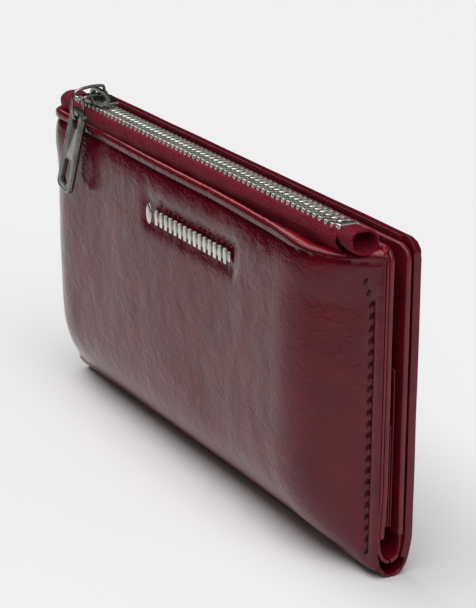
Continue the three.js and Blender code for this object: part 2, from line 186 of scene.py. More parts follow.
# %% Mix the patent leather
patent = new_finish("patent_leather", Roughness=0.14, IOR=1.4)
patent_blotch = add_noise(patent, 14, detail=3)
mix_colours(patent, patent_blotch, (0.085, 0.0012, 0.007), (0.125, 0.002, 0.011))
vary_roughness(patent, add_noise(patent, 5, detail=3), 0.1, 0.2)
add_relief(
    patent,
    (add_noise(patent, 7, detail=1, warp=0.4), 0.2),
    (add_noise(patent, 2.2, detail=2, stretch=(0.65, 1, 1), turn=(0, 0.5, 0), warp=0.8), 0.17),
    (add_noise(patent, 1.0, detail=2, stretch=(0.65, 1, 1), turn=(0, -0.4, 0), warp=0.6), 0.06),
)

# %% [markdown]
# ## Inner leather
# The leaves and card slots are cut from a softer, thinner leather with a semi-gloss finish and a small
# round grain.
# Cells from a Voronoi texture give the grain, and a broader noise relief lies over them so that they
# don't look printed.

# %% Mix the inner leather
inner_leather = new_finish("inner_leather", Roughness=0.34, IOR=1.48)
mix_colours(
    inner_leather, add_noise(inner_leather, 9, detail=3), (0.11, 0.003, 0.01), (0.17, 0.006, 0.016))
vary_roughness(inner_leather, add_noise(inner_leather, 2.5, detail=2), 0.26, 0.42)
grain_where = place_pattern(inner_leather, (1, 1, 0.8))
grain_inputs = {"Vector": grain_where, "Scale": 1 / (1.1 * MM), "Smoothness": 0.6}
grain = add_node(
    inner_leather, "ShaderNodeTexVoronoi", grain_inputs, feature="SMOOTH_F1").outputs["Distance"]
add_relief(inner_leather, (add_noise(inner_leather, 6, detail=3), 0.08), (grain, 0.07))

# %% [markdown]
# ## Cloth, board and thread
# The pocket lining is a plain woven cloth: two sets of even ridges cross each other.
# The tape of a metal zip is a closer, thicker weave of shiny yarn, so it gets ribs as well as a little
# sheen.

# %% Mix the woven finishes
lining_cloth = new_finish("lining_cloth", Roughness=0.88, Sheen_Weight=0.25, Sheen_Roughness=0.5)
mix_colours(
    lining_cloth, add_noise(lining_cloth, 1.2, detail=3), (0.10, 0.005, 0.012), (0.17, 0.012, 0.024))
add_relief(
    lining_cloth, (add_weave(lining_cloth, 0.5, "X"), 0.06), (add_weave(lining_cloth, 0.5, "Z"), 0.06))

zip_cloth = new_finish(
    "zip_cloth", Roughness=0.7, Sheen_Weight=0.03, Sheen_Roughness=0.35, Specular_IOR_Level=0.12)
mix_colours(zip_cloth, add_noise(zip_cloth, 0.9, detail=4), (0.10, 0.0015, 0.010), (0.22, 0.005, 0.022))
vary_roughness(zip_cloth, add_noise(zip_cloth, 0.8, detail=2), 0.45, 0.75)
add_relief(zip_cloth, (add_weave(zip_cloth, 0.62, "X"), 0.09), (add_weave(zip_cloth, 0.55, "Z"), 0.08))

grey_board = new_finish("grey_board", Roughness=0.95)
mix_colours(grey_board, add_noise(grey_board, 1.5, detail=5), (0.36, 0.33, 0.29), (0.5, 0.47, 0.42))
add_relief(grey_board, (add_noise(grey_board, 0.4, detail=4), 0.05))

wine_thread = new_finish("wine_thread", Roughness=0.6, Specular_IOR_Level=0.2)
mix_colours(
    wine_thread, add_noise(wine_thread, 0.4, detail=2), (0.018, 0.0006, 0.003), (0.05, 0.002, 0.008))
add_relief(wine_thread, (add_noise(wine_thread, 0.25, stretch=(1, 1, 0.4), turn=(0, 0.7, 0)), 0.05))

# %% [markdown]
# ## Metal
# The teeth and the trim are bright nickel, and the slider and puller a darker, polished plating.
# Plated metal is never even: fine scratches and handling marks change its roughness, so noise does
# that here.

# %% Mix the metals
nickel = new_finish("nickel", Roughness=0.22, Metallic=1.0)
mix_colours(nickel, add_noise(nickel, 3, detail=3), (0.58, 0.57, 0.53), (0.74, 0.73, 0.69))
vary_roughness(nickel, add_noise(nickel, 0.7, detail=4), 0.14, 0.34)
add_relief(nickel, (add_noise(nickel, 0.6, detail=3), 0.012))

gunmetal = new_finish("gunmetal", Roughness=0.18, Metallic=1.0)
mix_colours(gunmetal, add_noise(gunmetal, 4, detail=4), (0.2, 0.2, 0.185), (0.34, 0.335, 0.31))
vary_roughness(gunmetal, add_noise(gunmetal, 0.9, detail=4), 0.1, 0.28)
add_relief(gunmetal, (add_noise(gunmetal, 1.1, detail=3), 0.015))

# %% [markdown]
# ## The floor and the light
# The wallet stands on a pale studio floor under one long, soft light that hangs overhead and a little
# in front.
# The light is painted into the world, so it is even over the whole floor: a bright band along the
# wallet in a dim dome.
# Low down the sky is dark, and the lacquer needs that, because a mirror shows its colour only against
# something dark.

# %% Lay the floor
floor_bm = bmesh.new()
bmesh.ops.create_grid(floor_bm, x_segments=2, y_segments=2, size=4)
floor_mesh = bpy.data.meshes.new("floor")
floor_bm.to_mesh(floor_mesh)
floor_bm.free()
floor = bpy.data.objects.new("floor", floor_mesh)
bpy.context.scene.collection.objects.link(floor)
floor_finish = new_finish("studio_floor", Roughness=0.9, Specular_IOR_Level=0.1)
floor_sides = add_node(floor_finish, "ShaderNodeSeparateXYZ", {"Vector": place_pattern(floor_finish)})
# Painted shade: the floor's colour darkens from 0.9 to 0.3 between 0.12 m and 0.5 m in front, standing
# in for the light falling off there, and the lacquer reflects that darker floor.
floor_painted_falloff = add_node(
    floor_finish, "ShaderNodeMapRange", {
        "Value": floor_sides.outputs["Y"], "From Min": -0.5, "From Max": -0.12}
)
mix_colours(floor_finish, floor_painted_falloff.outputs["Result"], (0.3, 0.3, 0.3), (0.9, 0.9, 0.9), 0.0, 1.0)
floor_mesh.materials.append(floor_finish)

# %% Paint the light into the world
world = bpy.data.worlds.new("studio")
world.use_nodes = True
bpy.context.scene.world = world
LOW_SKY, DOME, BAND, SIDE = 0.02, 0.16, 2.2, 0.35


def world_math(operation, *values):
    inputs = dict(enumerate(values))
    return add_node(world, "ShaderNodeMath", inputs, operation=operation).outputs[0]


def world_step(value, start, end):
    """Rises smoothly from 0 at start to 1 at end."""
    inputs = {"Value": value, "From Min": start, "From Max": end}
    return add_node(
        world, "ShaderNodeMapRange", inputs, interpolation_type="SMOOTHSTEP").outputs["Result"]


direction = add_node(world, "ShaderNodeTexCoord").outputs["Generated"]
sky = add_node(world, "ShaderNodeSeparateXYZ", {"Vector": direction}).outputs
aside = world_math("DIVIDE", sky["Y"], world_math("MAXIMUM", sky["Z"], 0.001))
dome = world_step(sky["Z"], 0.48, 0.68)
side = world_math("MULTIPLY", world_step(sky["X"], 0.25, 0.7), world_step(sky["Z"], 0.1, 0.3))
band = world_math("SUBTRACT", world_step(aside, -0.85, -0.6), world_step(aside, 0.05, 0.25))
band = world_math("MULTIPLY", band, world_step(sky["Z"], 0.3, 0.45))
glow = world_math("MULTIPLY_ADD", dome, DOME, LOW_SKY)
glow = world_math("MULTIPLY_ADD", band, BAND, glow)
glow = world_math("MULTIPLY_ADD", side, SIDE, glow)
world.node_tree.links.new(glow, world.node_tree.nodes["Background"].inputs["Strength"])
world.node_tree.nodes["Background"].inputs["Color"].default_value = (1, 1, 1, 1)
print("light band", BAND, "in a dome of", DOME)

# %% [markdown]
# ## From a flat grid to a leather sheet
# Nearly every soft piece here is a sheet: a grid is made, and each of its corners is moved to its
# place by a small function.
# Solidify then gives it the leather's thickness, and Bevel rounds the cut edges, which is where the
# light catches.
# The modifiers are applied at once, so that what is measured later is the finished mesh.

# %% Helpers for sheets
def smooth(value):
    """0 below 0, 1 above 1, and a smooth rise between."""
    t = min(max(value, 0.0), 1.0)
    return t * t * (3 - 2 * t)


def rumple(a, b, size, depth, seed=0.0):
    """A gentle unevenness, always the same for the same place."""
    return depth * noise.noise(Vector((a / size, b / size, seed)))


def curve_point(points, t):
    """The point at t, from 0 to 1, on a smooth line through the given points."""
    last = len(points) - 1
    i = min(int(t * last), last - 1)
    f = t * last - i
    a, b, c, d = (Vector(points[min(max(j, 0), last)]) for j in (i - 1, i, i + 1, i + 2))
    return 0.5 * (
        2 * b + (c - a) * f + (2 * a - 5 * b + 4 * c - d) * f**2 + (3 * b - a - 3 * c + d) * f**3)


def make_object(name, bm, material, closed=True):
    """A finished, smooth-shaded object in metres from a mesh drawn in millimetres."""
    bmesh.ops.remove_doubles(bm, verts=bm.verts, dist=1e-4)
    if closed:
        bmesh.ops.recalc_face_normals(bm, faces=bm.faces)
    bmesh.ops.scale(bm, vec=(MM, MM, MM), verts=bm.verts)
    mesh = bpy.data.meshes.new(name)
    bm.to_mesh(mesh)
    bm.free()
    mesh.shade_smooth()
    mesh.materials.append(material)
    piece = bpy.data.objects.new(name, mesh)
    bpy.context.scene.collection.objects.link(piece)
    return piece


def apply_modifiers(piece):
    """Swaps the mesh for the one that its modifiers make."""
    graph = bpy.context.evaluated_depsgraph_get()
    made = bpy.data.meshes.new_from_object(piece.evaluated_get(graph))
    piece.modifiers.clear()
    piece.data = made
    return piece


def give_thickness(piece, thickness, edge, segments=2, inside=True):
    """Thickness away from the faces' outer side, with rounded cut edges."""
    solid = piece.modifiers.new("thickness", "SOLIDIFY")
    solid.thickness = thickness * MM
    solid.offset = -1 if inside else 1
    rounding = piece.modifiers.new("edge", "BEVEL")
    rounding.width = edge * MM
    rounding.segments = segments
    rounding.limit_method = "ANGLE"
    rounding.angle_limit = math.radians(55)
    rounding.use_clamp_overlap = True
    return apply_modifiers(piece)


def make_sheet(name, columns, rows, place, material, thickness, edge=0.2, segments=2):
    """A sheet whose grid goes where place(u, v) says, with u and v from 0 to 1."""
    bm = bmesh.new()
    bmesh.ops.create_grid(bm, x_segments=columns, y_segments=rows, size=0.5)
    for vertex in bm.verts:
        vertex.co = place(vertex.co.x + 0.5, vertex.co.y + 0.5)
    piece = give_thickness(make_object(name, bm, material, closed=False), thickness, edge, segments)
    print(name, "has", len(piece.data.polygons), "faces")
    return piece


def settle(piece, body, slot, *nodes):
    """The piece moves with a body and stands for these nodes, which are hidden; slot is not used."""
    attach(piece, body)
    if nodes:
        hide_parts(*nodes)
    return piece


# %% [markdown]
# ## The shape of the front
# The pocket side is one skin that swells like a shallow pillow: thin at the foot, fullest at two
# thirds of the height.
# It wraps round the left end and slopes away to a flat sewn margin at the right end.
# Its top edge is turned in over a hem, which a row of stitches presses flat.
# One function gives the depth of the face at any height, and another turns the ends, so every seam can
# follow the skin.

# %% Describe the swelled skin
EDGE_Y = -5
TURN, TURN_LENGTH = 0.3, 30
SLOPE_START, SLOPE_LENGTH = 58, 33.5
FOOT_Z, FOOT_RISE = 4, 36
RIM_TOP = 95
BAR_X, BAR_Z, BAR_HALF_LENGTH, BAR_HALF_HEIGHT = 9.5, 78.6, 26.5, 2.5


def end_share(x, z):
    """The share of the full depth that is left towards the ends: the left end is round, the right
    one slopes away."""
    if x < 0:
        length = 12 + 9 * smooth((91 - z) / 22) + 6 * smooth((22 - z) / 18)
        t = min(max((-x - HALF + length) / length, 0), 1)
        return (1 - t**2.3) ** (1 / 2.3)
    mouth = smooth((z - 78) / 14)
    start = SLOPE_START + 3 * mouth
    return max(1 - (max(x - start, 0) / SLOPE_LENGTH) ** 2.6, 0)


def end_flange(x):
    """The flat sewn margin at the right end stands a little in front of the leaves."""
    t = min(max(x - SLOPE_START, 0) / (HALF - SLOPE_START), 1)
    return 1.6 * smooth(t / 0.6) * math.sqrt(1 - t**14)


def hem_depth(x):
    """How far the hem stands out: least at the left end, where the slider lies, most near the right
    end."""
    return 11.2 + 1.4 * smooth((x + 75) / 75) + 2.1 * smooth((x - 15) / 60)


def bar_press(x, z):
    """How deep the trim is pressed into the padded face."""
    aside = max(abs(x - BAR_X) - BAR_HALF_LENGTH, 0)
    above = max(abs(z - BAR_Z) - BAR_HALF_HEIGHT, 0)
    return math.exp(-((aside**2 + above**2) / 3.2**2))


def face_depth(x, z):
    """Depth of the front face at a height, in front of the plane of its ends."""
    foot = min(max((z - FOOT_Z) / FOOT_RISE, 0), 1)
    share = 1 - (1 - foot) ** 4.0
    belly = 0.9 * math.sin(math.pi * min(max((z - 26) / 70, 0), 1))
    leaning = 1.7 * min(max((z - 82.5) / 9.5, 0), 1) ** 2
    waves = rumple(x, z, 21, 0.22) + rumple(x * 1.2, z * 0.8, 8, 0.1, 3)
    dip = 1.1 * bar_press(x, z)
    return share * hem_depth(x) + belly - leaning - dip + waves * smooth((z - 6) / 12)


def plan_point(s, depth, z):
    """Where s, from -1 to 1 along the skin, lies in plan, for a skin of that depth at a height."""
    straight = HALF - TURN_LENGTH
    along, side = abs(s), math.copysign(1, s)
    x = side * straight * along / (1 - TURN)
    if along > 1 - TURN:
        x = side * (straight + TURN_LENGTH * math.sin(min((along - 1 + TURN) / TURN, 1) * math.pi / 2))
    return Vector((x, EDGE_Y - depth * end_share(x, z) - end_flange(x)))


def plan_normal(s, depth, z):
    """The level direction that faces out of the skin at s."""
    inside = min(max(s, -0.999), 0.999)
    along = plan_point(inside + 0.001, depth, z) - plan_point(inside - 0.001, depth, z)
    return Vector((along.y, -along.x)).normalized()


def even_turn(u):
    """Spreads the grid's columns so that the tight ends get more of them."""
    t = 2 * u - 1
    edge = abs(t)
    if edge < 0.6:
        return t * (1 - TURN) / 0.6
    return math.copysign(1 - TURN + (edge - 0.6) / 0.4 * TURN, t)


print("the hem stands", round(hem_depth(-60), 1), "to", round(hem_depth(80), 1), "mm out")

# %% [markdown]
# ## Stitching the front
# The grid of the front runs round the foot, up the face and over the first part of a rounded rim.
# The seam under the hem and the seam up each end are real grooves: the corners near a seam line are
# pushed in.
# Foot, face and rim each get a share of the rows, so that the tight rim is as round as the broad face is
# smooth.

# %% Make the front skin
SEAM_Z = 91.6
END_SEAM_X = 91.2


def s_at(x):
    """The s whose place along the wallet is x."""
    straight = HALF - TURN_LENGTH
    if abs(x) <= straight:
        return x / straight * (1 - TURN)
    return math.copysign(
        1 - TURN + math.asin((abs(x) - straight) / TURN_LENGTH) / (math.pi / 2) * TURN, x)


def rim_half(s):
    """Half the width of the turned edge, which spreads towards the right end."""
    x = plan_point(s, 13, RIM_TOP).x
    return 1.4 + 1.1 * smooth((x - 50) / 30) + 0.8 * smooth((abs(x) - 86) / 8) * smooth(-x)


def rim_rise(s):
    """How high the turned edge is rounded."""
    return 1.6 + 0.8 * smooth((abs(s) - 0.86) / 0.14)


def rim_base(s):
    """The height where the turned edge starts: it dips where the mouth narrows to the right corner."""
    x = plan_point(s, 13, RIM_TOP).x
    return RIM_TOP - rim_rise(s) - 1.8 * smooth((x - 66) / 18) * (1 - smooth((x - 86) / 9))


def end_groove(x, z):
    """The stitched groove up each end."""
    return (
        0.6 * math.exp(-(((abs(x) - END_SEAM_X) / 0.55) ** 2)) * smooth((z - 6) / 4)
        * smooth((90 - z) / 3))


def outer_point(s, z):
    """A point on the outside of the skin, seams included."""
    x_here = plan_point(s, 13, z).x
    hem_low = smooth((z - SEAM_Z + 0.3) / 0.9)
    depth = face_depth(x_here, min(z, SEAM_Z)) * (1 - hem_low) + (hem_depth(x_here) - 0.2) * hem_low
    groove = 0.45 * math.exp(-(((z - SEAM_Z) / 0.45) ** 2)) * smooth((0.97 - abs(s)) / 0.02)
    groove += end_groove(x_here, z)
    flat = plan_point(s, depth, z) - plan_normal(s, depth, z) * groove
    return Vector((flat.x, min(flat.y, EDGE_Y), z))


def level_out(s):
    """The level way out of the rim at s."""
    out = plan_normal(s, hem_depth(0), RIM_TOP)
    return Vector((out.x, out.y, 0))


def front_place(u, v):
    """Foot, then face, then the first part of the rim."""
    s = even_turn(u)
    base = rim_base(s)
    foot_share, face_share = 0.05, 0.93
    if v < foot_share:
        turn = (1 - v / foot_share) * math.pi / 2
        return outer_point(s, FOOT_Z) + Vector((0, 1.3 * (1 - math.cos(turn)), -1.2 * math.sin(turn)))
    if v < face_share:
        return outer_point(s, FOOT_Z + (base - FOOT_Z) * (v - foot_share) / (face_share - foot_share))
    turn = (v - face_share) / (1 - face_share) * math.radians(34)
    rim = outer_point(s, base) - level_out(s) * rim_half(s) * (1 - math.cos(turn))
    rim.z += rim_rise(s) * math.sin(turn)
    return rim


front_skin = make_sheet("front_skin", 280, 125, front_place, patent, 0.8, edge=0.2)
settle(front_skin, "pocket", "patent_skin", "front_panel")

# %% [markdown]
# ## The binding of the mouth
# The raw top edge is bound with a narrow strip of the inner leather, lacquered like the skin.
# It comes out from behind the skin's edge, rolls over the rim and goes down inside, where the zip tape
# is sewn to it.
# The strip has a finish of its own, a brighter red than the skin: painted light, standing in for the
# overhead light on its rolled top.

# %% Make the binding
binding_lit_red = new_finish("binding_lit_red", Roughness=0.16, IOR=1.45)
# Painted light: this red is brighter than the skin's, standing in for the overhead light on the rolled
# top.
mix_colours(
    binding_lit_red, add_noise(binding_lit_red, 8, detail=3), (0.17, 0.0015, 0.009), (0.28, 0.004, 0.018))
vary_roughness(binding_lit_red, add_noise(binding_lit_red, 3, detail=3), 0.12, 0.26)
add_relief(
    binding_lit_red,
    (add_noise(binding_lit_red, 3.2, detail=2, stretch=(0.5, 1, 1), warp=0.5), 0.16),
    (add_noise(binding_lit_red, 0.8, detail=2), 0.02),
)


def binding_place(u, v):
    s = even_turn(u)
    level = level_out(s)
    half, rise = rim_half(s) - 0.35, rim_rise(s) - 0.1
    base = rim_base(s)
    arc_share = 0.7
    turn = math.radians(5 + 175 * min(v / arc_share, 1))
    crease = 0.1 * noise.noise(Vector((s * 60, v * 3, 5)))
    rim = outer_point(s, base) - level * (0.35 + half * (1 - math.cos(turn)) + crease)
    rim.z += rise * math.sin(turn) + crease
    rim.z -= 6.5 * max(v - arc_share, 0) / (1 - arc_share)
    return rim


binding = make_sheet("mouth_binding", 240, 34, binding_place, binding_lit_red, 0.5, edge=0.15)
settle(binding, "pocket", "inner_leather", "front_top_binding")

# %% [markdown]
# ## The walls and leaves inside
# Behind the pocket stands a stack of flat leather leaves with turned edges, one pair on each side of
# the fold.
# Each is a grid in the plane of its node, with rounded top corners and a slight bow, because leather
# never lies dead flat.
# The edges are rounded by half the leaf's thickness, as leather is when it is folded over a board.

# %% Make the leaves
def leaf_place(low, high, y, corner, bow=0.0, toe=0.0, reach=HALF):
    """Places a leaf between two heights: bow leans its top back, and toe pulls its foot forward."""
    def place(u, v):
        x, z = reach * (2 * u - 1), low + (high - low) * v
        turned = max(z - (high - corner), 0)
        x *= 1 - (corner - math.sqrt(max(corner**2 - turned**2, 0))) / reach
        lean = bow * smooth((z - 60) / 36) * (1 - (x / reach) ** 4)
        drawn = toe * smooth((26 - z) / 14)
        return Vector((x, y + lean - drawn + rumple(x, z, 26, 0.16, y), z))
    return place


def make_leaf(name, place, material, thickness, body, slot, *nodes):
    leaf = make_sheet(name, 110, 60, place, material, thickness, edge=thickness * 0.42, segments=3)
    return settle(leaf, body, slot, *nodes)


make_leaf("rear_wall", leaf_place(8, 95.2, -4.6, 4, 0.5, 0.7), inner_leather, 0.75,
          "pocket", "inner_leather", "pocket_rear_wall")
make_leaf("front_leaf", leaf_place(12, 95.4, -3.7, 4, 0.35, 0.7), inner_leather, 1.6,
          "pocket", "inner_leather", "front_leaf", "front_leaf_board")
make_leaf("back_leaf", leaf_place(12, 95.2, 1.6, 4), inner_leather, 1.7,
          "cover", "inner_leather", "back_leaf", "back_leaf_backing")

# %% [markdown]
# ## The back cover
# The back is the same patent leather over a board, so it is flat, with a soft rounded edge all round.
# A row of stitches runs a few millimetres in, and pulls the skin down into a shallow groove.
# The skin is gathered where it turns over the rounded top corners, and this shows as fine pleats.

# %% Make the back cover
COVER_TOP, COVER_Y, COVER_THICK = 96.3, 3.8, 2.4
COVER_SEAM, COVER_FOOT = 4.2, 5.0


def cover_inset(x, z):
    """How far a point of the cover is from its nearest free edge."""
    return min(HALF + 0.2 - abs(x), COVER_TOP - z)


def back_place(u, v):
    x, z = HALF * (1 - 2 * u), COVER_FOOT + (COVER_TOP - COVER_FOOT) * v
    turned = max(z - (COVER_TOP - 5), 0)
    x *= 1 - (5 - math.sqrt(max(25 - turned**2, 0))) / HALF
    inset = cover_inset(x, z)
    groove = 0.35 * math.exp(-(((inset - COVER_SEAM) / 0.7) ** 2)) * smooth((z - 6) / 3)
    around = math.atan2(z - (COVER_TOP - 5), abs(x) - (HALF - 5))
    pleat = 0.14 * math.sin(around * 26) * smooth((3.6 - inset) / 3) if 0 < around < math.pi / 2 else 0
    padding = 0.15 * smooth((inset - COVER_SEAM) / 6)
    toe = 1.7 * (1 - smooth((z - 1) / 11))
    return Vector(
        (x, COVER_Y + COVER_THICK - groove + pleat + padding - toe + rumple(x, z, 19, 0.16, 7), z))


back_skin = make_sheet("back_skin", 200, 110, back_place, patent, COVER_THICK, edge=0.95, segments=4)
settle(back_skin, "cover", "patent_skin", "back_panel")

# %% [markdown]
# ## The fold
# One strip of patent leather runs under the wallet from the front skin to the back cover, in a U.
# It bends twice when the wallet opens, so it is made in two lengths that meet in the middle of the
# narrow base.
# Each length is a fixed mesh that follows no body, and its free end is tucked behind the skin.

# %% Make the fold
def strip_place(points, reach, flip=False, wave=0.12):
    """A strip of even section along the wallet, through points given as Y and Z."""
    def place(u, v):
        x = reach * (2 * u - 1) * (-1 if flip else 1)
        at = curve_point(points, v)
        return Vector(
            (x, at.x + rumple(x, v * 20, 14, wave, 2), at.y + rumple(x, v * 20, 11, wave * 0.5, 4)))
    return place


FOLD_FRONT = [(0, 0), (-1.3, 0.1), (-2.7, 0.9), (-3.8, 2.0), (-4.7, 3.2), (-5.2, 4.8), (-5.3, 6.5)]
FOLD_BACK = [(0, 0), (1.5, 0.1), (3.0, 0.9), (4.2, 2.3), (5.0, 4.0), (5.4, 5.8), (5.4, 7.6)]
fold_front = make_sheet("fold_skin_front", 90, 18, strip_place(FOLD_FRONT, HALF - 0.4), patent, 1.1, 0.3)
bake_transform(fold_front)
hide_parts("spine_strip")
fold_back = make_sheet(
    "fold_skin_back", 90, 18, strip_place(FOLD_BACK, HALF - 0.4, True), patent, 1.1, 0.3)
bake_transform(fold_back)

INNER_FRONT = [(-3.2, 13.4), (-3.4, 10.5), (-3.0, 7.8), (-1.9, 5.6), (-0.2, 4.7)]
INNER_BACK = [(2.5, 13.4), (2.7, 10.5), (2.5, 7.8), (1.5, 5.6), (-0.2, 4.7)]
inner_front = make_sheet(
    "fold_lining_front", 90, 18, strip_place(INNER_FRONT, HALF - 1.2), inner_leather, 1.1, 0.3)
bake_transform(inner_front)
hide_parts("spine_lining")
inner_back = make_sheet(
    "fold_lining_back", 90, 18, strip_place(INNER_BACK, HALF - 1.2, True), inner_leather, 1.1, 0.3)
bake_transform(inner_back)

# %% [markdown]
# ## Card slots
# Each leaf carries two columns of card slots, a tall panel with a shorter one over it.
# The free top edge of a slot is folded down and pressed, so it is a little thicker there and has a
# rounded lip.
# A thumb cut-out would be common too, but these are plain.

# %% Make the card slots
def slot_place(x0, x1, low, top, y, outwards):
    """A slot panel with a turned lip along its top; outwards is -1 or 1 for the way that it faces."""
    def place(u, v):
        x = x0 + (x1 - x0) * (u if outwards < 0 else 1 - u)
        z = low + (top - low) * v
        lip = 0.12 * smooth((z - top + 4.5) / 0.6) * smooth((top - z + 0.2) / 0.8)
        return Vector((x, y + outwards * (lip + 0.04 + rumple(x, z, 15, 0.05, y)), z))
    return place


for leaf_name, outwards, body in (("front", 1, "pocket"), ("back", -1, "cover")):
    for column in ("left", "right"):
        for level in ("upper", "lower"):
            node = f"{leaf_name}_slot_{column}_{level}"
            low, high = (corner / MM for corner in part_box(node))
            face_y = high.y if outwards > 0 else low.y
            place = slot_place(low.x, high.x, low.z, high.z, face_y, outwards)
            panel = make_sheet("card_" + node, 60, 70, place, inner_leather, 0.5, edge=0.2)
            settle(panel, body, "inner_leather", node)

# %% [markdown]
# ## Pocket linings
# Cloth lines the coin pocket and the inside of the cover's board.
# They are almost hidden, so each is a thin sheet with soft waves and no stitching of its own.

# %% Make the linings
LINING_END = 84


def pocket_lining_place(u, v):
    s = (2 * u - 1) * s_at(LINING_END)
    z = 14 + 71 * v
    depth = face_depth(plan_point(s, 13, z).x, z)
    flat = plan_point(s, depth, z) - plan_normal(s, depth, z) * 2.1
    return Vector((flat.x, min(flat.y, EDGE_Y - 1.0), z))


front_lining = make_sheet("pocket_cloth_front", 90, 40, pocket_lining_place, lining_cloth, 0.35, 0.12)
settle(front_lining, "pocket", "lining", "pocket_lining_front")
rear_lining = make_sheet(
    "pocket_cloth_rear", 80, 40, leaf_place(14, 85, -5.75, 3, 0, 0.6, 90), lining_cloth, 0.35, 0.12)
settle(rear_lining, "pocket", "lining", "pocket_lining_rear")
cover_lining = make_sheet(
    "cover_cloth", 80, 40, leaf_place(6, 94, 3.42, 3, 0, 0, 92.8), lining_cloth, 0.35, 0.12)
settle(cover_lining, "cover", "lining", "back_lining")

# %% [markdown]
# ## Zip tapes
# Each tape is sewn inside the mouth, rises past the rim as a soft hump, and turns in under its row of
# teeth.
# At the right end the mouth closes in, so the whole chain drifts back and down a little there, and the
# tapes with it.
# The weave is in the finish, and two raised ribs run along the tape beside the teeth.

# %% Make the zip tapes
ZIP_Y, ZIP_Z = -11, 99.9
CHAIN_LEFT, CHAIN_RIGHT = -74, 82


def drift(x):
    """How far the chain moves back and down near its closed end."""
    late = smooth((x - 70) / 22)
    return Vector((0, 1.6 * late, -1.3 * late))


def tape_place(points, flip=False):
    def place(u, v):
        x = CHAIN_LEFT - 3 + (CHAIN_RIGHT - CHAIN_LEFT + 6) * (1 - u if flip else u)
        at = curve_point(points, v)
        rib = 0.13 * (math.exp(-(((v - 0.62) / 0.03) ** 2)) + math.exp(-(((v - 0.72) / 0.03) ** 2)))
        low = 1 - smooth(v / 0.6)
        slack = rumple(x, v * 9, 9, 0.35, 9) * math.sin(math.pi * min(v * 1.3, 1))
        mouth = hem_depth(x) * end_share(x, RIM_TOP) - hem_depth(0)
        at_y = at.x + (1 if flip else -1) * (rib + slack) - (0 if flip else low * mouth)
        return Vector((x, at_y, at.y)) + drift(x)
    return place


FRONT_TAPE = [
    (-14.2, 86.6), (-14.3, 90), (-14.5, 92.8), (-15.5, 95.6), (-15.9, 97.6), (-14.9, 99.5),
    (-13.0, 99.9)]
REAR_TAPE = [(-5.5, 87), (-5.7, 91), (-6.1, 94), (-6.5, 96.5), (-6.9, 98.5), (-7.8, 99.7), (-9.4, 99.9)]
tape_front = make_sheet("zip_cloth_front", 190, 40, tape_place(FRONT_TAPE), zip_cloth, 0.45, 0.1)
settle(tape_front, "pocket", "zip_tape", "zip_tape_front")
tape_rear = make_sheet("zip_cloth_rear", 190, 40, tape_place(REAR_TAPE, True), zip_cloth, 0.45, 0.1)
settle(tape_rear, "pocket", "zip_tape", "zip_tape_rear")

# %% [markdown]
# ## Zip teeth
# A metal tooth is a small clamp pressed round the edge of the tape, with a nose that sits between its
# two neighbours.
# Each is a cube, scaled and bevelled, and both rows repeat it, half a pitch apart.
# Few faces are spent on a tooth, since there are more than a hundred.

# %% Make the teeth
PITCH = 2.7
TOOTH_LONG, TOOTH_WIDE, TOOTH_HIGH = 3.7, 1.25, 2.3


def make_teeth(name, side, shift, node):
    bm = bmesh.new()
    x = CHAIN_LEFT + shift + TOOTH_WIDE / 2
    count = 0
    while x + TOOTH_WIDE / 2 <= CHAIN_RIGHT:
        middle = Vector((x, ZIP_Y + side * (3.4 - TOOTH_LONG / 2), ZIP_Z)) + drift(x)
        size = Matrix.Diagonal((TOOTH_WIDE, TOOTH_LONG, TOOTH_HIGH, 1))
        made = bmesh.ops.create_cube(bm, size=1, matrix=Matrix.Translation(middle) @ size)
        for vertex in made["verts"]:
            nose = side * (vertex.co.y - middle.y) < 0
            vertex.co.z = middle.z + (vertex.co.z - middle.z) * (0.72 if nose else 1.0)
            vertex.co.x = middle.x + (vertex.co.x - middle.x) * (0.8 if nose else 1.0)
        x += PITCH
        count += 1
    bmesh.ops.bevel(
        bm, geom=bm.edges[:], offset=0.36, segments=2, profile=0.5, affect="EDGES", material=-1)
    row = settle(make_object(name, bm, nickel), "pocket", "zip_teeth", node)
    print(name, "has", count, "teeth")
    return row


make_teeth("tooth_row_front", -1, 0.5, "zip_teeth_front")
make_teeth("tooth_row_rear", 1, 0.5 + PITCH / 2, "zip_teeth_rear")

# %% [markdown]
# ## Rounded copies of plain metal parts
# The stops, the slider and the puller have the right shape in the frame, but their edges are knife
# sharp.
# A merged copy of the node has its flat areas dissolved into single faces, and then every edge is
# bevelled.
# Real plated parts are tumbled before they are plated, so no edge on them is sharp.

# %% Make the stops
def rounded_copy(name, node, width, material, segments=3):
    """A copy of a node's mesh with its flat faces joined and its edges rounded by width millimetres."""
    bm = bmesh.new()
    bm.from_mesh(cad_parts[node].data)
    bmesh.ops.scale(bm, vec=(1 / MM,) * 3, verts=bm.verts)
    bmesh.ops.remove_doubles(bm, verts=bm.verts, dist=2e-3)
    bmesh.ops.dissolve_limit(bm, angle_limit=math.radians(2), verts=bm.verts, edges=bm.edges)
    sharp = [e for e in bm.edges if e.is_manifold and e.calc_face_angle() > math.radians(35)]
    bmesh.ops.bevel(
        bm, geom=sharp, offset=width, segments=segments, profile=0.5, affect="EDGES", material=-1,
        clamp_overlap=True)
    piece = make_object(name, bm, material)
    print(name, "rounds", len(sharp), "edges of", node)
    return piece


for end in ("top_stop_front", "top_stop_rear"):
    settle(rounded_copy("metal_" + end, "zip_" + end, 0.35, nickel), "pocket", "zip_teeth", "zip_" + end)
bottom_stop = rounded_copy("metal_bottom_stop", "zip_bottom_stop", 0.5, nickel)
bottom_stop.data.transform(Matrix.Translation(drift(CHAIN_RIGHT + 1) * MM))
settle(bottom_stop, "pocket", "zip_teeth", "zip_bottom_stop")

# %% [markdown]
# ## The tucked ends of the tape
# Past each end of the teeth the two tapes are folded together into a short tube and tucked down into
# the corner.
# A tube is a grid whose columns go round it; it is flat and pinched where the teeth end, and opens
# towards the corner.
# Soft lengthwise folds gather at the pinched end.

